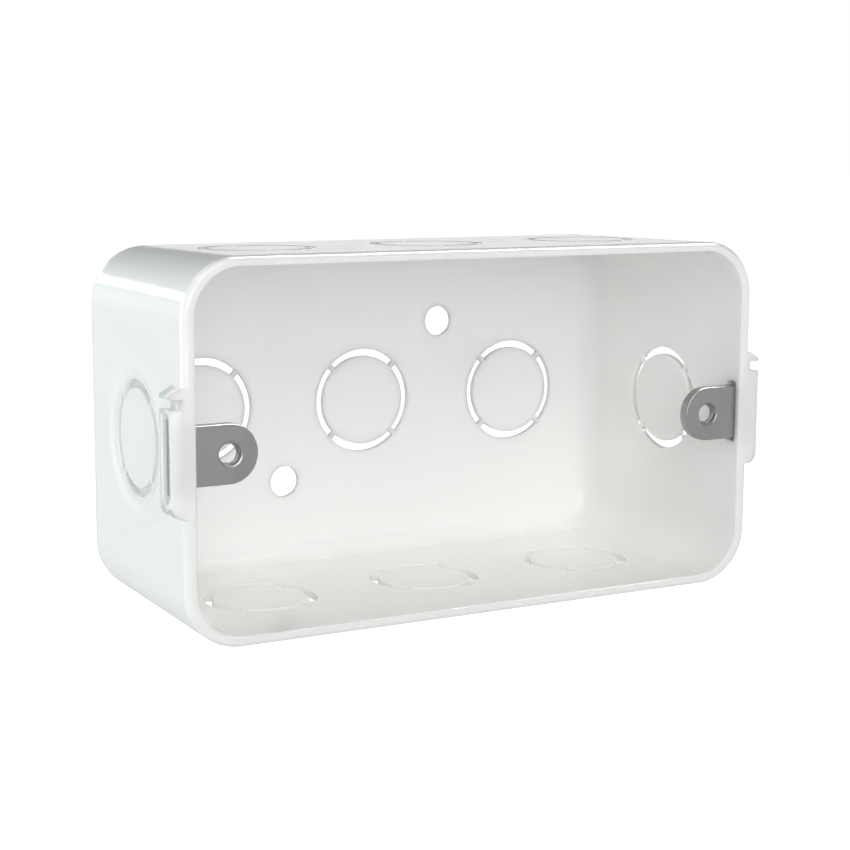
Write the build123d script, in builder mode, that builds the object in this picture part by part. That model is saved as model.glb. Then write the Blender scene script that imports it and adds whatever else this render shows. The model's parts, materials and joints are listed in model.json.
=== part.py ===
"""Plastic switch box: a one-piece moulding with knock-outs, and two steel screw lugs.

Millimetres, +Z up. The box stands on one long wall with its opening towards -Y. The origin
is midway between the two plate screws, in the front faces of the lugs.
"""

import os
from math import cos, radians, sin, sqrt, tan

from build123d import *

# Box, measured over the rim
box_width = 142.0
box_height = 80.0
box_depth = 60.8
corner_radius = 12.4
back_edge_chamfer = 4.1
cavity_edge_chamfer = 2.9

# Walls at the rim, and how far they lean in towards the back
end_wall = 2.8
long_wall = 2.2
back_wall = 1.3
end_draft_outside = 1.1
end_draft_inside = 0.8
long_draft_outside = 0.8
long_draft_inside = 0.5
rim_outer_round = 1.3

# Knock-outs: a disc held in its wall by bridges across a ring slot
knock_out_diameter = 25.0
ring_slot = 1.75
bridge_width = 1.0
bridge_count = 4
first_bridge_angle = 45.0
knock_outs_in_row = 3
back_knock_out_pitch = 42.0
long_knock_out_pitch = 41.7
long_knock_out_depth = 28.6
end_knock_out_depth = 29.6

# Dish round each end knock-out, on the outside
dish_rim = 3.5
dish_slope = 2.6
dish_depth = 0.9

# Holes in the back for the wall screws, at two opposite corners
back_hole_diameter = 7.4
back_hole_across = 42.1
back_hole_up = 36.8

# Lugs
plate_screw_spacing = 120.6
lug_recess = 1.6
lug_thickness = 2.5
lug_width = 12.5
lug_screw_hole = 4.5
lug_hole_chamfer = 0.4
lug_corner_round = 0.5

# Pads on the end walls, and the pockets in them
pad_projection = 2.5
pad_depth = 6.4
pad_bottom = -12.3
pad_top = 9.6
pad_bottom_round = 2.4
tooth_bottom = 11.9
tooth_thickness = 0.7
tooth_rise = 1.5
pocket_height = 18.4
pocket_depth = 3.4
slot_height = 14.4
slot_corner_round = 0.8
lug_front_clearance = 0.1
lug_back_clearance = 0.6
head_end_clearance = 0.3
head_recess = 0.5

# Places that follow from these
rim_y = -lug_recess
back_y = rim_y + box_depth
half_width = box_width / 2
half_height = box_height / 2
ring_radius = knock_out_diameter / 2
disc_radius = ring_radius - ring_slot
pocket_width = lug_thickness + lug_front_clearance + lug_back_clearance
pocket_middle_y = pocket_width / 2 - lug_front_clearance
pad_face = half_width + pad_projection
pocket_floor = pad_face - pocket_depth
head_face = pad_face - head_recess


def across(y):
    """Upright plane across the box at this depth, drawn as seen from the front."""
    return Plane.XZ.offset(-y)


def end_face(side):
    """Plane in the outside of one end wall, at the middle of its knock-out."""
    lean = radians(end_draft_outside)
    x = half_width - end_knock_out_depth * tan(lean)
    return Plane(
        origin=(side * x, rim_y + end_knock_out_depth, 0),
        x_dir=(-sin(lean), side * cos(lean), 0),
        z_dir=(side * cos(lean), sin(lean), 0),
    )


def row(pitch, offset):
    """Centres of one row of knock-outs along the box."""
    first = -pitch * (knock_outs_in_row - 1) / 2
    return [(first + pitch * i, offset) for i in range(knock_outs_in_row)]


def drafted_block(width, height, depth, end_draft, long_draft, corner, back_edge):
    """Block behind the rim plane that narrows to the back, with round corners and its back edge cut off."""
    back_half_width = width / 2 - depth * tan(radians(end_draft))
    back_half_height = height / 2 - depth * tan(radians(long_draft))
    with BuildPart() as block:
        with BuildSketch(Plane.XY):
            with BuildLine():
                Polyline(
                    (-width / 2, rim_y),
                    (width / 2, rim_y),
                    (back_half_width, rim_y + depth),
                    (-back_half_width, rim_y + depth),
                    close=True,
                )
            make_face()
        extrude(amount=height, both=True)
        with BuildSketch(Plane.YZ):
            with BuildLine():
                Polyline(
                    (rim_y, -height / 2),
                    (rim_y + depth, -back_half_height),
                    (rim_y + depth, back_half_height),
                    (rim_y, height / 2),
                    close=True,
                )
            make_face()
        extrude(amount=width, both=True, mode=Mode.INTERSECT)
        fillet(block.edges().filter_by(Plane.XZ, reverse=True), corner)
        chamfer(block.faces().sort_by(Axis.Y)[-1].edges(), back_edge)
    return block.part


# Outline of one knock-out's ring slot, with its bridges left standing
with BuildSketch() as ring:
    Circle(ring_radius)
    Circle(disc_radius, mode=Mode.SUBTRACT)
    with PolarLocations((ring_radius + disc_radius) / 2, bridge_count, first_bridge_angle):
        Rectangle(2 * ring_slot, bridge_width, mode=Mode.SUBTRACT)

# Pads outside the end walls, each with a notch and a sloping tooth above it
with BuildPart() as pads:
    with BuildSketch(across(rim_y)) as pad_outline:
        with BuildLine():
            Polyline(
                (half_width - end_wall / 2, pad_bottom),
                (pad_face, pad_bottom),
                (pad_face, pad_top),
                (half_width, pad_top),
                (half_width, tooth_bottom),
                (pad_face, tooth_bottom),
                (pad_face, tooth_bottom + tooth_thickness),
                (half_width, tooth_bottom + tooth_thickness + tooth_rise),
                (half_width - end_wall / 2, tooth_bottom + tooth_thickness + tooth_rise),
                close=True,
            )
        make_face()
        lowest = pad_outline.vertices().group_by(Axis.Y)[0]
        fillet(lowest.sort_by(Axis.X)[-1], pad_bottom_round)
    extrude(amount=-pad_depth)
    mirror(about=Plane.YZ)

# Pocket for each lug's head, and the slot from it through the end wall
with BuildPart() as pockets:
    with BuildSketch(Plane.YZ.offset(pad_face)):
        with Locations((pocket_middle_y, 0)):
            SlotOverall(pocket_height, pocket_width, rotation=90)
    extrude(amount=-pocket_depth)
    with BuildSketch(Plane.YZ.offset(pocket_floor)):
        with Locations((pocket_middle_y, 0)):
            RectangleRounded(pocket_width, slot_height, slot_corner_round)
    extrude(amount=-2 * end_wall)
    mirror(about=Plane.YZ)

outside = drafted_block(
    box_width,
    box_height,
    box_depth,
    end_draft_outside,
    long_draft_outside,
    corner_radius,
    back_edge_chamfer,
)
cavity = drafted_block(
    box_width - 2 * end_wall,
    box_height - 2 * long_wall,
    box_depth - back_wall,
    end_draft_inside,
    long_draft_inside,
    corner_radius - long_wall,
    cavity_edge_chamfer,
)

with BuildPart() as box_body:
    add(outside)
    add(cavity, mode=Mode.SUBTRACT)
    fillet(box_body.faces().sort_by(Axis.Y)[0].outer_wire().edges(), rim_outer_round)

    # Dishes outside the end knock-outs
    dish_floor_radius = ring_radius + dish_rim - dish_slope
    with Locations(*(end_face(side).offset(-dish_depth) for side in (-1, 1))):
        Cone(
            dish_floor_radius,
            dish_floor_radius + 2 * dish_slope,
            2 * dish_depth,
            align=(Align.CENTER, Align.CENTER, Align.MIN),
            mode=Mode.SUBTRACT,
        )

    # Ring slots through the back, the long walls and the end walls
    long_row = row(long_knock_out_pitch, rim_y + long_knock_out_depth)
    walls = (
        (across(back_y), row(back_knock_out_pitch, 0), back_wall),
        (Plane.XY.offset(half_height), long_row, long_wall),
        (Plane.XY.offset(-half_height), long_row, long_wall),
        (end_face(-1), [(0, 0)], end_wall),
        (end_face(1), [(0, 0)], end_wall),
    )
    for plane, centres, wall in walls:
        with BuildSketch(plane):
            with Locations(*centres):
                add(ring.sketch)
        extrude(amount=2 * wall, both=True, mode=Mode.SUBTRACT)

    # Holes for the wall screws
    with BuildSketch(across(back_y)):
        with Locations(
            (-back_hole_across / 2, -back_hole_up / 2),
            (back_hole_across / 2, back_hole_up / 2),
        ):
            Circle(back_hole_diameter / 2)
    extrude(amount=2 * back_wall, mode=Mode.SUBTRACT)

    add(pads.part)
    add(pockets.part, mode=Mode.SUBTRACT)

# Lug: a round-ended tab with the screw hole, and a wider head that can't pull in through the slot
with BuildPart() as right_lug:
    hole_x = plate_screw_spacing / 2
    pocket_end = sqrt((pocket_width / 2) ** 2 - pocket_middle_y**2)
    head_half_height = (pocket_height - pocket_width) / 2 + pocket_end - head_end_clearance
    with BuildSketch(Plane.XZ) as lug_outline:
        with Locations((hole_x, 0)):
            Circle(lug_width / 2)
            Rectangle(pocket_floor - hole_x, lug_width, align=(Align.MIN, Align.CENTER))
        with Locations((pocket_floor, 0)):
            Rectangle(
                head_face - pocket_floor, 2 * head_half_height, align=(Align.MIN, Align.CENTER)
            )
        shoulders = lug_outline.vertices().group_by(Axis.X)[-2].sort_by(Axis.Y)[1:-1]
        fillet(shoulders, lug_corner_round)
    extrude(amount=-lug_thickness)
    with BuildSketch(Plane.XZ):
        with Locations((hole_x, 0)):
            Circle(lug_screw_hole / 2)
    extrude(amount=-lug_thickness, mode=Mode.SUBTRACT)
    mouth = right_lug.edges().filter_by(GeomType.CIRCLE).filter_by(
        lambda edge: edge.is_closed
    )
    chamfer(mouth.sort_by(Axis.Y)[0], lug_hole_chamfer)

with BuildPart() as left_lug:
    mirror(right_lug.part, about=Plane.YZ)

os.makedirs("parts", exist_ok=True)
box_body.part.label = "box_body"
left_lug.part.label = "left_lug"
right_lug.part.label = "right_lug"
for piece in (box_body, left_lug, right_lug):
    export_step(piece.part, f"parts/{piece.part.label}.step")
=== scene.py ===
"""Looks of a white plastic switch box with two zinc plated screw lugs."""

import json
import math

import bmesh
import bpy
from mathutils import Matrix, Vector


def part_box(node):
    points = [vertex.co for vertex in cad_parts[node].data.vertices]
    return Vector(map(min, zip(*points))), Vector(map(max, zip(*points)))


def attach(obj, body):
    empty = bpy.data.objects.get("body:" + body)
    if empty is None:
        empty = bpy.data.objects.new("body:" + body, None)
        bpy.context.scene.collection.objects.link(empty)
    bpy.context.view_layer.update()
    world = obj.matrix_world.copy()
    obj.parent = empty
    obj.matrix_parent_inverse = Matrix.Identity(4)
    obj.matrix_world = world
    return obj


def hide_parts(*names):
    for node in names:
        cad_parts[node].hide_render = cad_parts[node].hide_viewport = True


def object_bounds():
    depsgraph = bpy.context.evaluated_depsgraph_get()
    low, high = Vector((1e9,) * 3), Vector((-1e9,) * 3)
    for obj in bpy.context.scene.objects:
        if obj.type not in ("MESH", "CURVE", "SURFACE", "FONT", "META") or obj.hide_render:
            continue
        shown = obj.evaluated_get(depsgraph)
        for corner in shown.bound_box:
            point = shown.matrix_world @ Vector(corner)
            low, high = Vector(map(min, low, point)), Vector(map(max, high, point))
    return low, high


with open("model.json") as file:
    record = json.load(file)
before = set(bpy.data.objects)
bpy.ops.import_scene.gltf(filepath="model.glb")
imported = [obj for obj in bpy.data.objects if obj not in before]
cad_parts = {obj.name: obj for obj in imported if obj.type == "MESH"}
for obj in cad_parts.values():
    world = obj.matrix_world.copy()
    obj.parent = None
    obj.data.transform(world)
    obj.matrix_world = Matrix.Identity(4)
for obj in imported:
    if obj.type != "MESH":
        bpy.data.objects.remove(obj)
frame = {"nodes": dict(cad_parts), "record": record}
cad_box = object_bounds()

bl_info = {
    "name": "Plastic Switch Box",
    "version": (1, 0, 0),
    "blender": (4, 5, 0),
    "location": "View3D > Sidebar > Switch Box",
    "description": "Moulded switch box with steel screw lugs, on a pale floor",
    "category": "Object",
}

PLATE_SCREWS = next(m for m in frame["record"]["mounts"] if m["name"] == "plate_screws")

# Edges that turn by less than this are the bend of a curved face's own facets
SHARP_TURN = math.radians(30)

# A round needs edges beside it that are longer than this many times its radius
ROOM_FOR_ROUND = 1.2

# The pads lie farther out than this and nearer the rim than this, and their small faces leave no
# room for rounds. Neither do the slots' walls in the back, which starts at this depth.
PADS_FROM = 0.0685
PADS_TO = 0.0065
BACK_FROM = 0.0565

# Tilt, as the normal's part along the box's depth, of the bands that cut off the edges round
# the back, and the least tilt of the back itself
BAND_TILT = (0.5, 0.85)
BACK_TILT = 0.9

# How far inside the round's last ring the flat back's own corners are drawn
CORNER_MARGIN = 0.0006

# The photo's camera: place in metres, yaw, pitch and roll in degrees, and focal length and
# photo width in pixels
CAMERA_PLACE = (-0.210188, -0.344291, 0.063484)
CAMERA_TURNS = (29.517, 8.725, 0.286)
FOCAL_PIXELS = 1880.643
PHOTO_WIDTH = 850
SENSOR_WIDTH = 36.0

# Name, direction from the box, distance, width and height in metres, brightness, colour, and
# whether it lights the surfaces or only shows in their gloss
SOFTBOXES = (
    ("high_softbox", (-0.13, -0.77, 0.62), 1.1, 0.7, 0.5, 4.2, (1.0, 1.0, 0.97), True),
    ("low_softbox", (-0.25, -0.94, 0.2), 1.1, 0.6, 0.4, 3.7, (1.0, 1.0, 0.98), True),
    ("left_softbox", (-0.89, 0.38, 0.1), 1.1, 0.5, 0.4, 10.6, (0.86, 1.0, 0.98), True),
    ("rear_strip", (-0.3, 0.94, 0.215), 1.0, 0.7, 0.05, 11.0, (1.0, 1.0, 1.0), False),
    ("overhead_panel", (0.49, -0.15, 0.86), 1.2, 0.5, 0.8, 22.0, (1.0, 1.0, 1.0), False),
)


class Moulding(bpy.types.PropertyGroup):
    edge_round: bpy.props.FloatProperty(
        name="Edge round",
        description="Radius that the mould leaves on the box's sharp edges",
        default=0.00038,
        unit="LENGTH",
    )
    back_round: bpy.props.FloatProperty(
        name="Back round",
        description="Radius of the outer edge round the back",
        default=0.007,
        unit="LENGTH",
    )
    cavity_round: bpy.props.FloatProperty(
        name="Cavity round",
        description="Radius of the inner edge round the back",
        default=0.005,
        unit="LENGTH",
    )
    colour: bpy.props.FloatVectorProperty(
        name="Colour",
        description="Colour of the plastic",
        subtype="COLOR",
        default=(0.97, 0.975, 0.96),
    )
    roughness: bpy.props.FloatProperty(
        name="Roughness",
        description="Roughness of the plastic where nothing has rubbed it",
        subtype="FACTOR",
        default=0.13,
    )


class Lugs(bpy.types.PropertyGroup):
    edge_round: bpy.props.FloatProperty(
        name="Edge round",
        description="Radius that barrel tumbling leaves on the lugs' edges",
        default=0.00035,
        unit="LENGTH",
    )
    colour: bpy.props.FloatVectorProperty(
        name="Colour",
        description="Colour of the zinc plating",
        subtype="COLOR",
        default=(0.365, 0.361, 0.361),
    )
    roughness: bpy.props.FloatProperty(
        name="Roughness",
        description="Roughness of the plating",
        subtype="FACTOR",
        default=0.3,
    )


class Threads(bpy.types.PropertyGroup):
    pitch: bpy.props.FloatProperty(
        name="Pitch",
        description="Distance from one turn of the thread to the next",
        default=0.0006,
        unit="LENGTH",
    )
    height: bpy.props.FloatProperty(
        name="Height",
        description="How far the thread stands in from the wall of the hole",
        default=0.00018,
        unit="LENGTH",
    )
    lead_in: bpy.props.FloatProperty(
        name="Lead in",
        description="Depth at which the thread starts, behind the hole's chamfer",
        default=0.00065,
        unit="LENGTH",
    )


class Stage(bpy.types.PropertyGroup):
    floor_colour: bpy.props.FloatVectorProperty(
        name="Floor colour",
        description="Colour of the floor",
        subtype="COLOR",
        default=(0.5, 0.5, 0.5),
    )
    floor_glow: bpy.props.FloatProperty(
        name="Floor glow",
        description="Light that the floor's panel gives off",
        default=1.0,
    )
    ceiling: bpy.props.FloatProperty(
        name="Ceiling",
        description="Brightness of the studio overhead, where its walls are 1",
        subtype="FACTOR",
        default=0.02,
    )
    wall_top: bpy.props.FloatProperty(
        name="Wall top",
        description="Brightness of the studio's walls above the bright band at eye height",
        subtype="FACTOR",
        default=0.45,
    )
    table: bpy.props.FloatProperty(
        name="Table",
        description="Brightness of the studio below, as the box is lit by it",
        subtype="FACTOR",
        default=0.66,
    )
    floor_size: bpy.props.FloatProperty(
        name="Floor size",
        description="Width of the square floor",
        default=8.0,
        unit="LENGTH",
    )


class Socket:
    """A node's output that can be used in sums."""

    def __init__(self, tree, socket):
        self.tree = tree
        self.socket = socket

    def node(self, kind, settings=None, **inputs):
        """Adds a node with these settings, then sets or links its inputs."""
        made = self.tree.nodes.new(kind)
        for name, value in (settings or {}).items():
            if name == "stops":
                ramp = made.color_ramp.elements
                while len(ramp) < len(value):
                    ramp.new(0.5)
                for stop, (place, colour) in zip(ramp, value):
                    stop.position, stop.color = place, colour
            else:
                setattr(made, name, value)
        for name, value in inputs.items():
            key = int(name[1:]) if name[0] == "_" else name.replace("_", " ")
            if isinstance(value, Socket):
                self.tree.links.new(value.socket, made.inputs[key])
            else:
                made.inputs[key].default_value = value
        return made

    def out(self, kind, settings=None, output=0, **inputs):
        """The output of a node made by node()."""
        return Socket(self.tree, self.node(kind, settings, **inputs).outputs[output])

    def maths(self, operation, *values):
        places = {f"_{i}": v for i, v in enumerate(values)}
        return self.out("ShaderNodeMath", {"operation": operation}, **places)

    def mix(self, first, second):
        """Blend of two colours, with this socket as the factor."""
        return self.out(
            "ShaderNodeMix", {"data_type": "RGBA"}, output=2, _0=self, _6=first, _7=second
        )

    def __add__(self, other):
        return self.maths("ADD", self, other)

    __radd__ = __add__

    def __mul__(self, other):
        return self.maths("MULTIPLY", self, other)

    __rmul__ = __mul__

    def __sub__(self, other):
        return self.maths("SUBTRACT", self, other)

    def __rsub__(self, other):
        return self.maths("SUBTRACT", other, self)

    def __truediv__(self, other):
        return self.maths("DIVIDE", self, other)

    def __rtruediv__(self, other):
        return self.maths("DIVIDE", other, self)


def new_material(name):
    """An empty node material and its shader, with Object coordinates."""
    material = bpy.data.materials.new(name)
    material.use_nodes = True
    tree = material.node_tree
    shader = tree.nodes["Principled BSDF"]
    place = Socket(tree, tree.nodes.new("ShaderNodeTexCoord").outputs["Object"])
    return material, shader, place


def noise(place, scale, detail=2.0, roughness=0.5):
    """Noise pattern, scale in spots a metre."""
    return place.out(
        "ShaderNodeTexNoise",
        Vector=place,
        Scale=scale,
        Detail=detail,
        Roughness=roughness,
    )


def feed(shader, **links):
    """Links sockets to the shader's inputs of these names."""
    for name, value in links.items():
        shader.id_data.links.new(value.socket, shader.inputs[name.replace("_", " ")])


def glossy_plastic(settings):
    """White, slightly translucent plastic: flow clouds, rubbed patches and faint orange peel."""
    material, shader, place = new_material("white_moulding_plastic")
    clouds = noise(place, 26.0, detail=3.0)
    rubs = noise(place, 90.0, detail=5.0, roughness=0.62)
    peel = noise(place, 420.0)
    grain = noise(place, 2600.0)
    colour = Vector(settings.colour)
    feed(
        shader,
        Base_Color=clouds.mix((*(colour * 0.985), 1.0), (*(colour * 1.012), 1.0)),
        Roughness=rubs * 0.1 + (settings.roughness - 0.05),
        Normal=place.out(
            "ShaderNodeBump", Strength=0.045, Distance=0.0004, Height=peel * 0.8 + grain * 0.05
        ),
    )
    shader.inputs["IOR"].default_value = 1.49
    shader.inputs["Subsurface Weight"].default_value = 0.85
    shader.inputs["Subsurface Radius"].default_value = (1.0, 1.0, 1.0)
    shader.inputs["Subsurface Scale"].default_value = 0.003
    return material


def zinc_plate(settings):
    """Zinc plated steel: tumbling dull spots, fine rolled grain and darker stains."""
    material, shader, place = new_material("zinc_plated_steel")
    stretch = place.out("ShaderNodeMapping", Vector=place, Scale=(1.0, 1.0, 7.0))
    rolled = noise(stretch, 900.0, detail=3.0)
    stains = noise(place, 150.0, detail=4.0, roughness=0.6)
    spots = noise(place, 1800.0)
    mottle = stains * 0.7 + rolled * 0.3
    colour = Vector(settings.colour)
    feed(
        shader,
        Base_Color=mottle.mix((*(colour * 0.86), 1.0), (*(colour * 1.12), 1.0)),
        Roughness=stains * 0.16 + spots * 0.08 + (settings.roughness - 0.12),
        Normal=place.out(
            "ShaderNodeBump", Strength=0.12, Distance=0.0001, Height=rolled * 0.6 + spots * 0.4
        ),
    )
    shader.inputs["Metallic"].default_value = 0.9
    return material


def merged_copy(node):
    """Merged copy of a CAD node's mesh with its flat facets joined."""
    mesh = bmesh.new()
    mesh.from_mesh(frame["nodes"][node].data)
    bmesh.ops.remove_doubles(mesh, verts=mesh.verts, dist=1e-6)
    bmesh.ops.dissolve_limit(
        mesh, angle_limit=math.radians(0.3), verts=mesh.verts, edges=mesh.edges
    )
    mesh.normal_update()
    return mesh


def new_piece(mesh, name):
    """Object made from this mesh, shaded smooth."""
    data = bpy.data.meshes.new(name)
    mesh.to_mesh(data)
    mesh.free()
    data.shade_smooth()
    made = bpy.data.objects.new(name, data)
    bpy.context.scene.collection.objects.link(made)
    return made


def in_order(edges):
    """The corners of a closed loop of edges, in order."""
    start = edges[0].verts[0]
    loop, left = [start], set(edges)
    while left:
        edge = next(e for e in loop[-1].link_edges if e in left)
        left.remove(edge)
        loop.append(edge.other_vert(loop[-1]))
    return loop[:-1]


def lace(mesh, first, second):
    """Joins two closed loops that run side by side with a strip of triangles."""
    start = min(range(len(second)), key=lambda i: (second[i].co - first[0].co).length)
    second = second[start:] + second[:start]
    ahead = (first[1].co - first[0].co).dot(second[1].co - second[0].co)
    if ahead < 0:
        second = second[:1] + second[:0:-1]
    i = j = 0
    while i < len(first) or j < len(second):
        a, b = first[i % len(first)], second[j % len(second)]
        next_a, next_b = first[(i + 1) % len(first)], second[(j + 1) % len(second)]
        shorter = (next_a.co - b.co).length < (next_b.co - a.co).length
        if j == len(second) or (i < len(first) and shorter):
            mesh.faces.new((a, next_a, b))
            i += 1
        else:
            mesh.faces.new((a, next_b, b))
            j += 1


def round_back(mesh, facing, radius, steps):
    """Swaps the band that cuts off the back's edge for a true round, outside (1) or inside (-1)."""
    deep = cad_box[1].y - radius
    least, most = BAND_TILT
    band = {
        face
        for face in mesh.faces
        if min(v.co.y for v in face.verts) > deep and least < facing * face.normal.y < most
    }
    wall, back = [], []
    for edge in mesh.edges:
        kept = [face for face in edge.link_faces if face not in band]
        if len(kept) == 1:
            (back if abs(kept[0].normal.y) > BACK_TILT else wall).append(edge)
    wall, back = in_order(wall), in_order(back)
    bmesh.ops.delete(mesh, geom=list(band), context="FACES")

    # Each corner of the wall slides along the wall to where the round starts
    flat = back[0].co.y
    centres, leans, rings = [], [], [wall]
    for vert in wall:
        normal = sum((face.normal for face in vert.link_faces), Vector()).normalized() * facing
        out = Vector((normal.x, 0.0, normal.z))
        slope = normal.y / out.length
        out.normalize()
        ahead = flat - radius + radius * normal.y - vert.co.y
        vert.co += ahead * (Vector((0.0, 1.0, 0.0)) - out * slope)
        centres.append(vert.co - normal * radius)
        leans.append((math.asin(normal.y), out))
    for step in range(1, steps + 1):
        ring = []
        for centre, (lean, out) in zip(centres, leans):
            angle = lean + (math.pi / 2 - lean) * step / steps
            turned = out * math.cos(angle) + Vector((0.0, math.sin(angle), 0.0))
            ring.append(mesh.verts.new(centre + turned * radius))
        rings.append(ring)
    count = len(wall)
    for near, far in zip(rings, rings[1:]):
        for i in range(count):
            j = (i + 1) % count
            mesh.faces.new((near[i], near[j], far[j], far[i]))

    # The flat back shrinks into the last ring, with round corners
    half = Vector((max(c.x for c in centres), 0.0, max(c.z for c in centres)))
    corner = half.x - max(c.x for c in centres if c.z > half.z - 1e-5)
    core = half - Vector((corner, 0.0, corner))
    for vert in back:
        inner = Vector(
            (
                max(-core.x, min(core.x, vert.co.x)),
                flat,
                max(-core.z, min(core.z, vert.co.z)),
            )
        )
        vert.co = inner + (vert.co - inner).normalized() * (corner - CORNER_MARGIN)
    lace(mesh, rings[-1], back)
    bmesh.ops.recalc_face_normals(mesh, faces=mesh.faces)


def mark_edges(mesh, radius):
    """Marks the sharp edges that have room for a round of this radius."""
    weight = mesh.edges.layers.float.new("bevel_weight_edge")
    for edge in mesh.edges:
        first, last = (vert.co for vert in edge.verts)
        at_pad = max(abs(first.x), abs(last.x)) > PADS_FROM and min(first.y, last.y) < PADS_TO
        at_back = max(first.y, last.y) > BACK_FROM
        around = {near for vert in edge.verts for near in vert.link_edges}
        roomy = min(near.calc_length() for near in around) > ROOM_FOR_ROUND * radius
        sharp = edge.calc_face_angle(0.0) > SHARP_TURN
        edge[weight] = float(sharp and roomy and not at_pad and not at_back)


def round_edges(piece, radius, segments, limit="ANGLE"):
    """Rounds the sharp edges, or with the limit WEIGHT only the marked ones."""
    bevel = piece.modifiers.new("edge_round", "BEVEL")
    bevel.width = radius
    bevel.segments = segments
    bevel.limit_method = limit
    bevel.angle_limit = SHARP_TURN
    bevel.miter_outer = "MITER_ARC"
    bevel.use_clamp_overlap = False
    bevel.loop_slide = False
    even = piece.modifiers.new("even_shading", "WEIGHTED_NORMAL")
    even.weight = 100
    even.thresh = 0.002


def stand_in(piece, node, material):
    """Dresses a piece and puts it in the place of its CAD node."""
    piece.data.materials.append(material)
    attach(piece, "root")
    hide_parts(node)


class SWITCHBOX_OT_mould_box(bpy.types.Operator):
    """Make the moulded box with its softened edges"""

    bl_idname = "switchbox.mould_box"
    bl_label = "Mould Box"

    def execute(self, context):
        settings = context.scene.switchbox_moulding
        mesh = merged_copy("box_body")
        round_back(mesh, 1, settings.back_round, steps=8)
        round_back(mesh, -1, settings.cavity_round, steps=6)
        mark_edges(mesh, settings.edge_round)
        shell = new_piece(mesh, "moulded_box")
        round_edges(shell, settings.edge_round, segments=2, limit="WEIGHT")
        stand_in(shell, "box_body", glossy_plastic(settings))
        return {"FINISHED"}


class SWITCHBOX_OT_stamp_lugs(bpy.types.Operator):
    """Make the two stamped lugs with their tumbled edges"""

    bl_idname = "switchbox.stamp_lugs"
    bl_label = "Stamp Lugs"

    def execute(self, context):
        settings = context.scene.switchbox_lugs
        plating = zinc_plate(settings)
        for side in ("left", "right"):
            lug = new_piece(merged_copy(f"{side}_lug"), f"{side}_plated_lug")
            round_edges(lug, settings.edge_round, segments=3)
            stand_in(lug, f"{side}_lug", plating)
        return {"FINISHED"}


def thread_tree(plating):
    """Geometry nodes that wind a thread inside each of two holes."""
    tree = bpy.data.node_groups.new("thread_turns", "GeometryNodeTree")
    tree.interface.new_socket("Geometry", in_out="INPUT", socket_type="NodeSocketGeometry")
    for name in ("Hole radius", "Depth", "Pitch", "Height", "Spacing", "Start"):
        tree.interface.new_socket(name, in_out="INPUT", socket_type="NodeSocketFloat")
    tree.interface.new_socket("Geometry", in_out="OUTPUT", socket_type="NodeSocketGeometry")
    source = tree.nodes.new("NodeGroupInput")
    radius, depth, pitch, height, spacing, start = (
        Socket(tree, source.outputs[name])
        for name in ("Hole radius", "Depth", "Pitch", "Height", "Spacing", "Start")
    )
    helix = radius.out(
        "GeometryNodeCurveSpiral",
        Resolution=36,
        Rotations=depth / pitch,
        Start_Radius=radius,
        End_Radius=radius,
        Height=depth,
    )
    ridge = radius.out("GeometryNodeCurvePrimitiveCircle", Resolution=6, Radius=height)
    turns = radius.out(
        "GeometryNodeCurveToMesh", Curve=helix, Profile_Curve=ridge, Fill_Caps=True
    )
    laid = radius.out(
        "GeometryNodeTransform", Geometry=turns, Rotation=(-math.pi / 2, 0.0, 0.0)
    )
    first = radius.out("ShaderNodeCombineXYZ", X=spacing * -0.5, Y=start)
    step = radius.out("ShaderNodeCombineXYZ", X=spacing)
    holes = radius.out("GeometryNodeMeshLine", Count=2, Start_Location=first, Offset=step)
    both = radius.out("GeometryNodeInstanceOnPoints", Points=holes, Instance=laid)
    real = radius.out("GeometryNodeRealizeInstances", Geometry=both)
    plated = radius.out("GeometryNodeSetMaterial", Geometry=real, Material=plating)
    target = tree.nodes.new("NodeGroupOutput")
    tree.links.new(plated.socket, target.inputs["Geometry"])
    return tree


def grown(tree, sizes, name):
    """The plain mesh that a geometry nodes tree makes with these sizes, as a new piece."""
    seed = bpy.data.objects.new("seed", bpy.data.meshes.new("seed"))
    bpy.context.scene.collection.objects.link(seed)
    nodes = seed.modifiers.new("nodes", "NODES")
    nodes.node_group = tree
    for item in tree.interface.items_tree:
        if item.name in sizes:
            nodes[item.identifier] = sizes[item.name]
    seen = seed.evaluated_get(bpy.context.evaluated_depsgraph_get())
    data = bpy.data.meshes.new_from_object(seen)
    data.name = name
    bpy.data.objects.remove(seed)
    made = bpy.data.objects.new(name, data)
    bpy.context.scene.collection.objects.link(made)
    return made


class SWITCHBOX_OT_tap_threads(bpy.types.Operator):
    """Wind the thread inside the two lugs' screw holes"""

    bl_idname = "switchbox.tap_threads"
    bl_label = "Tap Threads"

    def execute(self, context):
        settings = context.scene.switchbox_threads
        plating = bpy.data.materials["zinc_plated_steel"]
        back_of_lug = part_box("left_lug")[1].y
        sizes = {
            "Hole radius": PLATE_SCREWS["dims"]["hole_r_mm"] / 1000,
            "Depth": back_of_lug - settings.lead_in - settings.height,
            "Pitch": settings.pitch,
            "Height": settings.height,
            "Spacing": PLATE_SCREWS["dims"]["spacing_x_mm"] / 1000,
            "Start": settings.lead_in,
        }
        threads = grown(thread_tree(plating), sizes, "screw_threads")
        threads.data.shade_smooth()
        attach(threads, "root")
        return {"FINISHED"}


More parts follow.
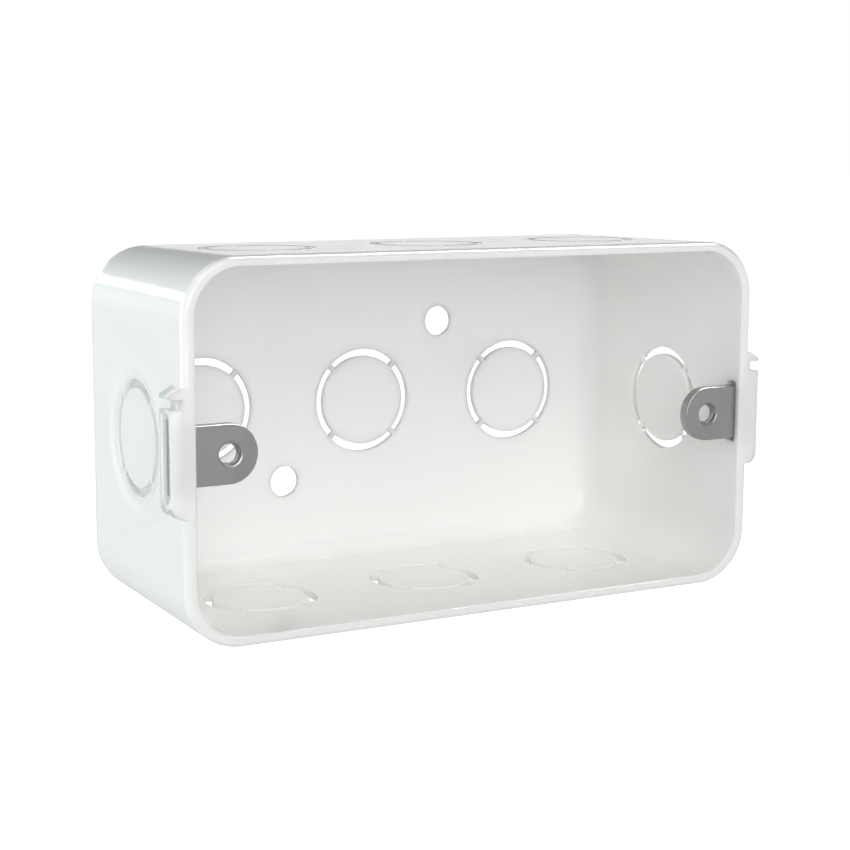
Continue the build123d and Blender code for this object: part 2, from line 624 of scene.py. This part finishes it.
class SWITCHBOX_OT_set_stage(bpy.types.Operator):
    """Set the floor, the lights and the camera"""

    bl_idname = "switchbox.set_stage"
    bl_label = "Set Stage"

    def execute(self, context):
        settings = context.scene.switchbox_stage
        self.lay_floor(settings, context)
        self.hang_lights(settings, context)
        self.place_camera(context)
        return {"FINISHED"}

    def lay_floor(self, settings, context):
        half = settings.floor_size / 2
        lowest = cad_box[0].z
        data = bpy.data.meshes.new("floor")
        corners = [(-half, -half), (half, -half), (half, half), (-half, half)]
        data.from_pydata([(x, y, lowest) for x, y in corners], [], [(0, 1, 2, 3)])
        floor = bpy.data.objects.new("floor", data)
        context.scene.collection.objects.link(floor)
        material, shader, place = new_material("pale_floor")
        colour = Vector(settings.floor_colour)
        speckle = noise(place, 14.0)
        feed(shader, Base_Color=speckle.mix((*(colour * 0.99), 1.0), (*colour, 1.0)))
        shader.inputs["Roughness"].default_value = 0.9
        shader.inputs["Specular IOR Level"].default_value = 0.1
        shader.inputs["Emission Color"].default_value = (1.0, 1.0, 1.0, 1.0)
        shader.inputs["Emission Strength"].default_value = settings.floor_glow
        data.materials.append(material)
        floor.visible_diffuse = floor.visible_glossy = False

    def hang_lights(self, settings, context):
        world = bpy.data.worlds.new("studio")
        world.use_nodes = True
        tree = world.node_tree
        sky = tree.nodes["Background"]
        look = Socket(tree, tree.nodes.new("ShaderNodeTexCoord").outputs["Generated"])
        height = look.out("ShaderNodeSeparateXYZ", output=2, Vector=look)

        # Height of a direction, from -1 straight down to 1 straight up, and brightness there
        levels = (
            (-0.08, settings.table),
            (-0.04, 1.0),
            (0.08, 1.0),
            (0.13, settings.wall_top),
            (0.5, settings.ceiling),
        )
        stops = [(place / 2 + 0.5, (level, level, level, 1.0)) for place, level in levels]
        walls = height.out("ShaderNodeValToRGB", {"stops": stops}, Fac=height * 0.5 + 0.5)
        tree.links.new(walls.socket, sky.inputs["Color"])
        sky.inputs["Strength"].default_value = 1.0
        context.scene.world = world
        context.scene.view_settings.view_transform = "Standard"
        aim = Vector((0.0, 0.02, 0.0))
        for name, towards, distance, width, height, glow, colour, lit in SOFTBOXES:
            data = bpy.data.lights.new(name, "AREA")
            data.color = colour
            data.shape = "RECTANGLE"
            data.size, data.size_y = width, height
            data.energy = glow * math.pi * width * height
            lamp = bpy.data.objects.new(name, data)
            lamp.location = aim + Vector(towards).normalized() * distance
            lamp.rotation_mode = "QUATERNION"
            lamp.rotation_quaternion = (aim - lamp.location).to_track_quat("-Z", "Y")
            lamp.visible_diffuse = lit
            context.scene.collection.objects.link(lamp)

    def place_camera(self, context):
        yaw, pitch, roll = map(math.radians, CAMERA_TURNS)
        ahead = Vector(
            (math.sin(yaw) * math.cos(pitch), math.cos(yaw) * math.cos(pitch), -math.sin(pitch))
        )
        level = Vector((math.cos(yaw), -math.sin(yaw), 0.0))
        over = level.cross(ahead)
        right = level * math.cos(roll) + over * math.sin(roll)
        upward = over * math.cos(roll) - level * math.sin(roll)
        data = bpy.data.cameras.new("camera")
        data.sensor_width = SENSOR_WIDTH
        data.lens = FOCAL_PIXELS / PHOTO_WIDTH * SENSOR_WIDTH
        data.clip_start = 0.01
        data.clip_end = 50.0
        camera = bpy.data.objects.new("camera", data)
        turn = Matrix((right, upward, -ahead)).transposed().to_4x4()
        camera.matrix_world = Matrix.Translation(CAMERA_PLACE) @ turn
        context.scene.collection.objects.link(camera)
        context.scene.camera = camera


class SWITCHBOX_PT_panel(bpy.types.Panel):
    """Lists the steps that make the switch box"""

    bl_label = "Switch Box"
    bl_space_type = "VIEW_3D"
    bl_region_type = "UI"
    bl_category = "Switch Box"

    def draw(self, context):
        for step in STEPS:
            self.layout.operator(step.bl_idname)
        for name in PROPERTIES:
            group = getattr(context.scene, name)
            for field in group.__annotations__:
                self.layout.prop(group, field)


STEPS = (
    SWITCHBOX_OT_mould_box,
    SWITCHBOX_OT_stamp_lugs,
    SWITCHBOX_OT_tap_threads,
    SWITCHBOX_OT_set_stage,
)
PROPERTIES = {
    "switchbox_moulding": Moulding,
    "switchbox_lugs": Lugs,
    "switchbox_threads": Threads,
    "switchbox_stage": Stage,
}


def register():
    for group in (*PROPERTIES.values(), *STEPS, SWITCHBOX_PT_panel):
        bpy.utils.register_class(group)
    for name, group in PROPERTIES.items():
        setattr(bpy.types.Scene, name, bpy.props.PointerProperty(type=group))


def unregister():
    for name in PROPERTIES:
        delattr(bpy.types.Scene, name)
    for group in (*PROPERTIES.values(), *STEPS, SWITCHBOX_PT_panel):
        bpy.utils.unregister_class(group)


def main():
    register()
    bpy.ops.switchbox.mould_box()
    bpy.ops.switchbox.stamp_lugs()
    bpy.ops.switchbox.tap_threads()
    bpy.ops.switchbox.set_stage()


if __name__ == "__main__":
    main()
